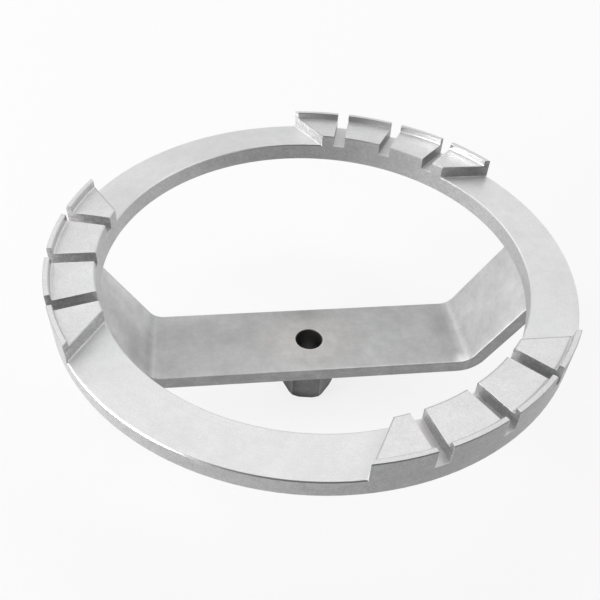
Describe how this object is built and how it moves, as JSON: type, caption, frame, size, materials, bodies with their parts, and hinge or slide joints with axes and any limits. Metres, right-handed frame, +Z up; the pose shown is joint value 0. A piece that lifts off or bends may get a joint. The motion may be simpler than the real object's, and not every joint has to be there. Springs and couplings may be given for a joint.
{
  "type": "fuel tank lock ring wrench",
  "caption": "Flat ring with groups of slotted, lipped teeth, welded on a bent cross bar with a bored hex stub, for turning a fuel tank's lock ring.",
  "frame": {"origin": "centre of the hex stub's lower face, on the axis of the ring and the bore", "axes": "+Z up the ring's axis, towards the teeth; X along the cross bar, with a tooth group centred on -X"},
  "size_m": [0.168, 0.168, 0.0676],
  "materials": {
    "machined_ring": "machined, matt plated",
    "bar_stock": "rolled, matt plated",
    "hex_stock": "drawn, matt plated",
    "weld_bead": "rippled, matt plated"
  },
  "bodies": {
    "root": {"toothed_ring": "machined_ring", "cross_bar": "bar_stock", "drive_hex": "hex_stock", "end_weld_left": "weld_bead", "end_weld_right": "weld_bead", "hex_weld": "weld_bead"}
  },
  "joints": []
}
